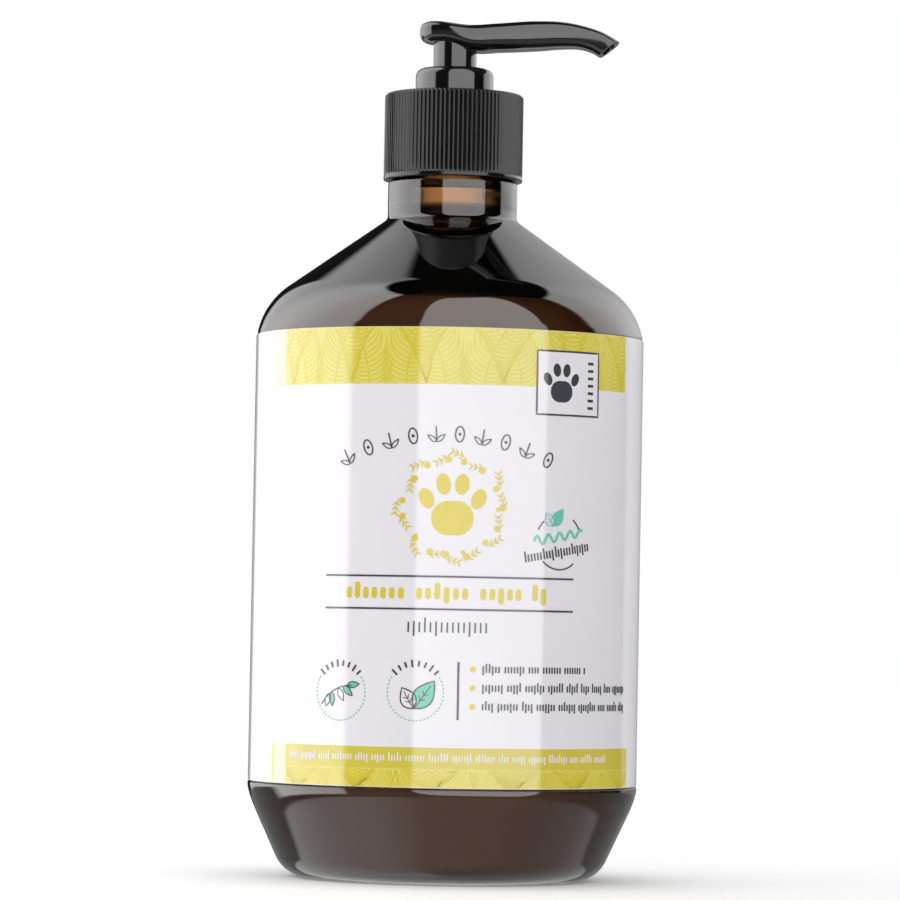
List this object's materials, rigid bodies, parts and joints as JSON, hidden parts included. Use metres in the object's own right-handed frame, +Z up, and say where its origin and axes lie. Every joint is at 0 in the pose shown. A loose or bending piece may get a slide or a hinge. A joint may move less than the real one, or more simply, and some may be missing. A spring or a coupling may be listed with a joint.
{
  "type": "shampoo bottle",
  "caption": "Amber plastic shampoo bottle with a wrap label, a ribbed screw closure and a lock-down lotion pump with its dip tube.",
  "frame": {"origin": "centre of the base, on the surface that the bottle stands on", "axes": "+Z up along the bottle's axis; -Y faces the label's front; the spout points along +X, turned 9 degrees towards -Y"},
  "size_m": [0.078, 0.078, 0.1724],
  "materials": {
    "amber_plastic": "gloss",
    "label_film": "satin",
    "black_plastic": "gloss",
    "natural_plastic": "satin",
    "soft_plastic": "matte",
    "gasket_foam": "matte",
    "spring_steel": "satin",
    "ball_glass": "polished"
  },
  "bodies": {
    "bottle": {"bottle": "amber_plastic", "wrap_label": "label_film"},
    "gasket": {"neck_gasket": "gasket_foam"},
    "pump_engine": {"pump_housing": "natural_plastic", "chaplet": "black_plastic", "dip_tube": "natural_plastic", "ball_cage": "natural_plastic", "return_spring": "spring_steel"},
    "closure": {"closure": "black_plastic"},
    "piston": {"piston": "soft_plastic"},
    "head": {"actuator": "black_plastic", "stem": "natural_plastic", "piston_seat": "natural_plastic"},
    "inlet_ball": {"inlet_ball": "ball_glass"}
  },
  "joints": [
    {"name": "pump_lift_out", "type": "slide", "parent": "bottle", "child": "gasket", "axis": [0, 0, 1], "range_m": [0, 0.155]},
    {"name": "thread_climb", "type": "slide", "parent": "gasket", "child": "pump_engine", "axis": [0, 0, 1], "range_m": [0, 0.0048]},
    {"name": "closure_unscrew", "type": "hinge", "parent": "pump_engine", "child": "closure", "pos_m": [0, 0, 0.15], "axis": [0, 0, 1], "range_deg": [0, 540]},
    {"name": "pump_stroke", "type": "slide", "parent": "pump_engine", "child": "piston", "axis": [0, 0, 1], "range_m": [0, 0.014], "deforming": ["return_spring"]},
    {"name": "head_turn", "type": "hinge", "parent": "piston", "child": "head", "pos_m": [0, 0, 0.165], "axis": [0, 0, 1], "continuous": true},
    {"name": "inlet_ball_lift", "type": "slide", "parent": "pump_engine", "child": "inlet_ball", "axis": [0, 0, 1], "range_m": [0, 0.0015]}
  ],
  "couplings": [
    {"joint": "thread_climb", "follows": "closure_unscrew", "m_per_rad": 0.0005053}
  ]
}
